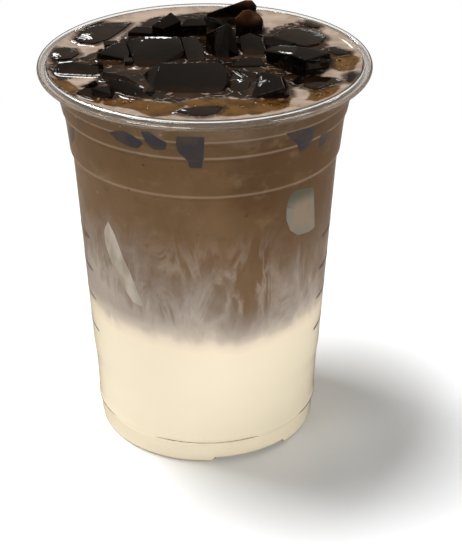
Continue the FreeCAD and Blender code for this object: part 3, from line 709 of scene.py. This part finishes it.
# Light comes through the thin corner that stands up at the back, so it looks brown.
lit_fin = jelly_paint.z.to(LEVEL + 3, LEVEL + 9) * jelly_paint.y.to(15, 22) * jelly_paint.x.to(3, 8)
jelly_shade = jelly_paint.mix(lit_fin * jelly_paint.noise(5, 2).to(0.3, 0.6, (0.4, 1.0)),
                              jelly_shade, shade(122, 78, 50))
jelly_finish = jelly_paint.finish(jelly_paint.node("BsdfPrincipled", {}, {
    "Base Color": jelly_shade, "IOR": 1.37,
    "Roughness": jelly_paint.noise(4, 3).to(0.3, 0.75, (0.02, 0.09)),
    "Normal": jelly_paint.bump(jelly_paint.noise(3.2, 2, swirl=0.5), 0.16)}))


def cut_block(node):
    """The node's solid as one welded mesh with flat cut faces and finely bevelled edges."""
    shape = bmesh.new()
    shape.from_mesh(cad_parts[node].data)
    bmesh.ops.remove_doubles(shape, verts=shape.verts, dist=WELD * MM)
    bmesh.ops.dissolve_limit(shape, angle_limit=math.radians(2), verts=shape.verts,
                             edges=shape.edges)
    mesh = bpy.data.meshes.new(node + "_cut")
    shape.to_mesh(mesh)
    shape.free()
    mesh.polygons.foreach_set("use_smooth", np.ones(len(mesh.polygons), bool))
    piece = placed(node + "_cut", mesh, jelly_finish)
    bevel = piece.modifiers.new("knife_edge", "BEVEL")
    bevel.width, bevel.segments = KNIFE_EDGE * MM, 3
    bevel.limit_method = "ANGLE"
    bevel.angle_limit = math.radians(20)
    bevel.harden_normals = True
    return piece


for node in blocks:
    dressed(cut_block(node), node, slot="grass_jelly")

# The offcuts that lie between the blocks, each (east, north, length, turn).
OFFCUTS = [(-27.9, 12.9, 4.6, 20), (-24.6, 14.2, 3.6, 70), (-29.3, 5.4, 4.4, 120),
           (-31.6, -4.4, 4.0, 15), (-31.9, -18.4, 3.4, 60), (8.4, 32.4, 4.2, 30),
           (12.2, 23.4, 3.6, 100), (9.6, 12.0, 3.8, 50), (17.6, 10.6, 3.6, 10),
           (-15.3, -23.6, 3.0, 80), (22.4, 0.4, 3.8, 140), (16.4, -17.6, 3.4, 35),
           (-22.3, -0.8, 3.6, 95), (26.5, -16.5, 3.2, 60)]
OFFCUT_SHARES, UNEVEN, AFLOAT, OFFCUT_EDGE = (1, 0.7, 0.55), 0.3, 0.15, 0.25


def offcut(name, east, north, length, turn):
    """The convex hull of a leaning box, each of whose eight corners is moved a little at random."""
    signs = np.indices((2, 2, 2)).reshape(3, 8).T * 2.0 - 1
    moved = 1 + UNEVEN * (chance.random((8, 3)) - 0.5)
    corners = signs * length / 2 * OFFCUT_SHARES * moved
    lean = Matrix.Rotation(chance.uniform(-0.5, 0.5), 3, "X")
    heading = Matrix.Rotation(math.radians(turn), 3, "Z")
    corners = corners @ np.array(heading @ lean).T + (east, north, LEVEL + AFLOAT)
    mesh = bpy.data.meshes.new(name)
    mesh.from_pydata(corners * MM, [], [])
    shape = bmesh.new()
    shape.from_mesh(mesh)
    bmesh.ops.convex_hull(shape, input=shape.verts)
    bmesh.ops.recalc_face_normals(shape, faces=shape.faces)
    bmesh.ops.bevel(shape, geom=shape.edges, offset=OFFCUT_EDGE * MM, segments=2,
                    affect="EDGES", clamp_overlap=True)
    shape.to_mesh(mesh)
    shape.free()
    return placed(name, mesh, jelly_finish)


for number, place in enumerate(OFFCUTS, start=1):
    dressed(offcut(f"offcut_{number}", *place), slot="grass_jelly")

# ================================================================ table, light and camera
# A plain white table under a soft lamp high above and a little to the left. A larger one stands
# at each side in front, and four small ones mostly add glints. The room is white where it is seen
# directly or through the cup, and darker in reflections.
TABLE_HALF, FADE_FROM, FADE_TO = 3000, 120, 280
floor = Paint("white_table")
floor_shade = floor.mix(floor.noise(40, 4), shade(244, 245, 246), shade(247, 248, 249))
floor_base = floor.node("BsdfPrincipled", {}, {"Base Color": floor_shade, "Roughness": 0.6})
glow = floor.node("Emission", {}, {"Color": (1, 1, 1, 1), "Strength": 1.0})
dim = floor.node("BsdfDiffuse", {}, {"Color": shade(128, 114, 102)})
away = (floor.x * floor.x + floor.y * floor.y) ** 0.5
lit_table = floor.blend(floor.ray("Camera") * away.to(FADE_FROM, FADE_TO), floor_base, glow)
white_table = floor.finish(floor.blend(floor.ray("Glossy"), lit_table, dim))
span = np.linspace(-TABLE_HALF, TABLE_HALF, 13)
table_x, table_y = np.meshgrid(span, span)
table_rows = np.stack([table_x, table_y, np.zeros_like(table_x)], 2)
skin("table", table_rows, white_table, around=False)

room = Paint("pale_room", "worlds")
upward = room.node("SeparateXYZ", {}, {0: room.node("TexCoord", out="Generated")}, out="Z")
height_share = room.node("MapRange", {}, {0: upward, 1: 0.0, 2: 0.9})
reflected = room.mix(height_share, (0.10, 0.09, 0.08, 1), (0.42, 0.35, 0.29, 1))
ambient, mirror, white = (room.node("Background", {}, {0: colour}) for colour in (
    (0.075, 0.08, 0.088, 1), reflected, (1, 1, 1, 1)))
bpy.context.scene.world = room.finish(
    room.blend(most(room.ray("Camera"), room.ray("Transmission")),
               room.blend(room.ray("Glossy"), ambient, mirror), white), "OutputWorld")


def lamp(name, place, aim_height, wide, power, mirrored=False):
    """A square soft white lamp at a place in metres, facing a point on the cup's axis."""
    light = bpy.data.lights.new(name, "AREA")
    light.size, light.energy = wide, power
    holder = bpy.data.objects.new(name, light)
    bpy.context.collection.objects.link(holder)
    holder.location = place
    holder.visible_glossy = mirrored
    back = np.subtract(place, (0, 0, aim_height))
    flat = math.hypot(back[0], back[1])
    holder.rotation_euler = (math.atan2(flat, back[2]), 0, math.atan2(back[0], -back[1]))


GLINTS = {"glint_left": (-0.46, 0.38, 0.92), "glint_back": (-0.12, 0.78, 0.56),
          "glint_right": (0.42, 0.50, 0.72), "glint_front": (-0.30, -0.30, 1.0)}
lamp("window", (-0.26, 0.13, 1.04), 0.06, 0.34, 14.0)
for name, place in GLINTS.items():
    lamp(name, place, 0.10, 0.08, 0.27, mirrored=True)
lamp("front_left", (-0.80, -0.85, 0.34), 0.06, 0.6, 4.0)
lamp("front_right", (0.98, -0.62, 0.34), 0.06, 0.6, 6.6)

# The camera looks down from the front, with its turn about X and then about its own line of sight.
PITCH, TWIST = math.radians(90 - 28.997), math.radians(-0.388)
camera = bpy.data.cameras.new("camera")
camera.lens, camera.sensor_width = 99.15, 36
camera.shift_x, camera.shift_y = 0.0445, -0.0002
viewer = bpy.data.objects.new("camera", camera)
bpy.context.collection.objects.link(viewer)
viewer.location = (0, -0.42563, 0.28190)
viewer.rotation_mode = "XYZ"
viewer_turn = Matrix.Rotation(PITCH, 3, "X") @ Matrix.Rotation(TWIST, 3, "Z")
viewer.rotation_euler = viewer_turn.to_euler()
bpy.context.scene.camera = viewer
bpy.context.scene.view_settings.view_transform = "Standard"
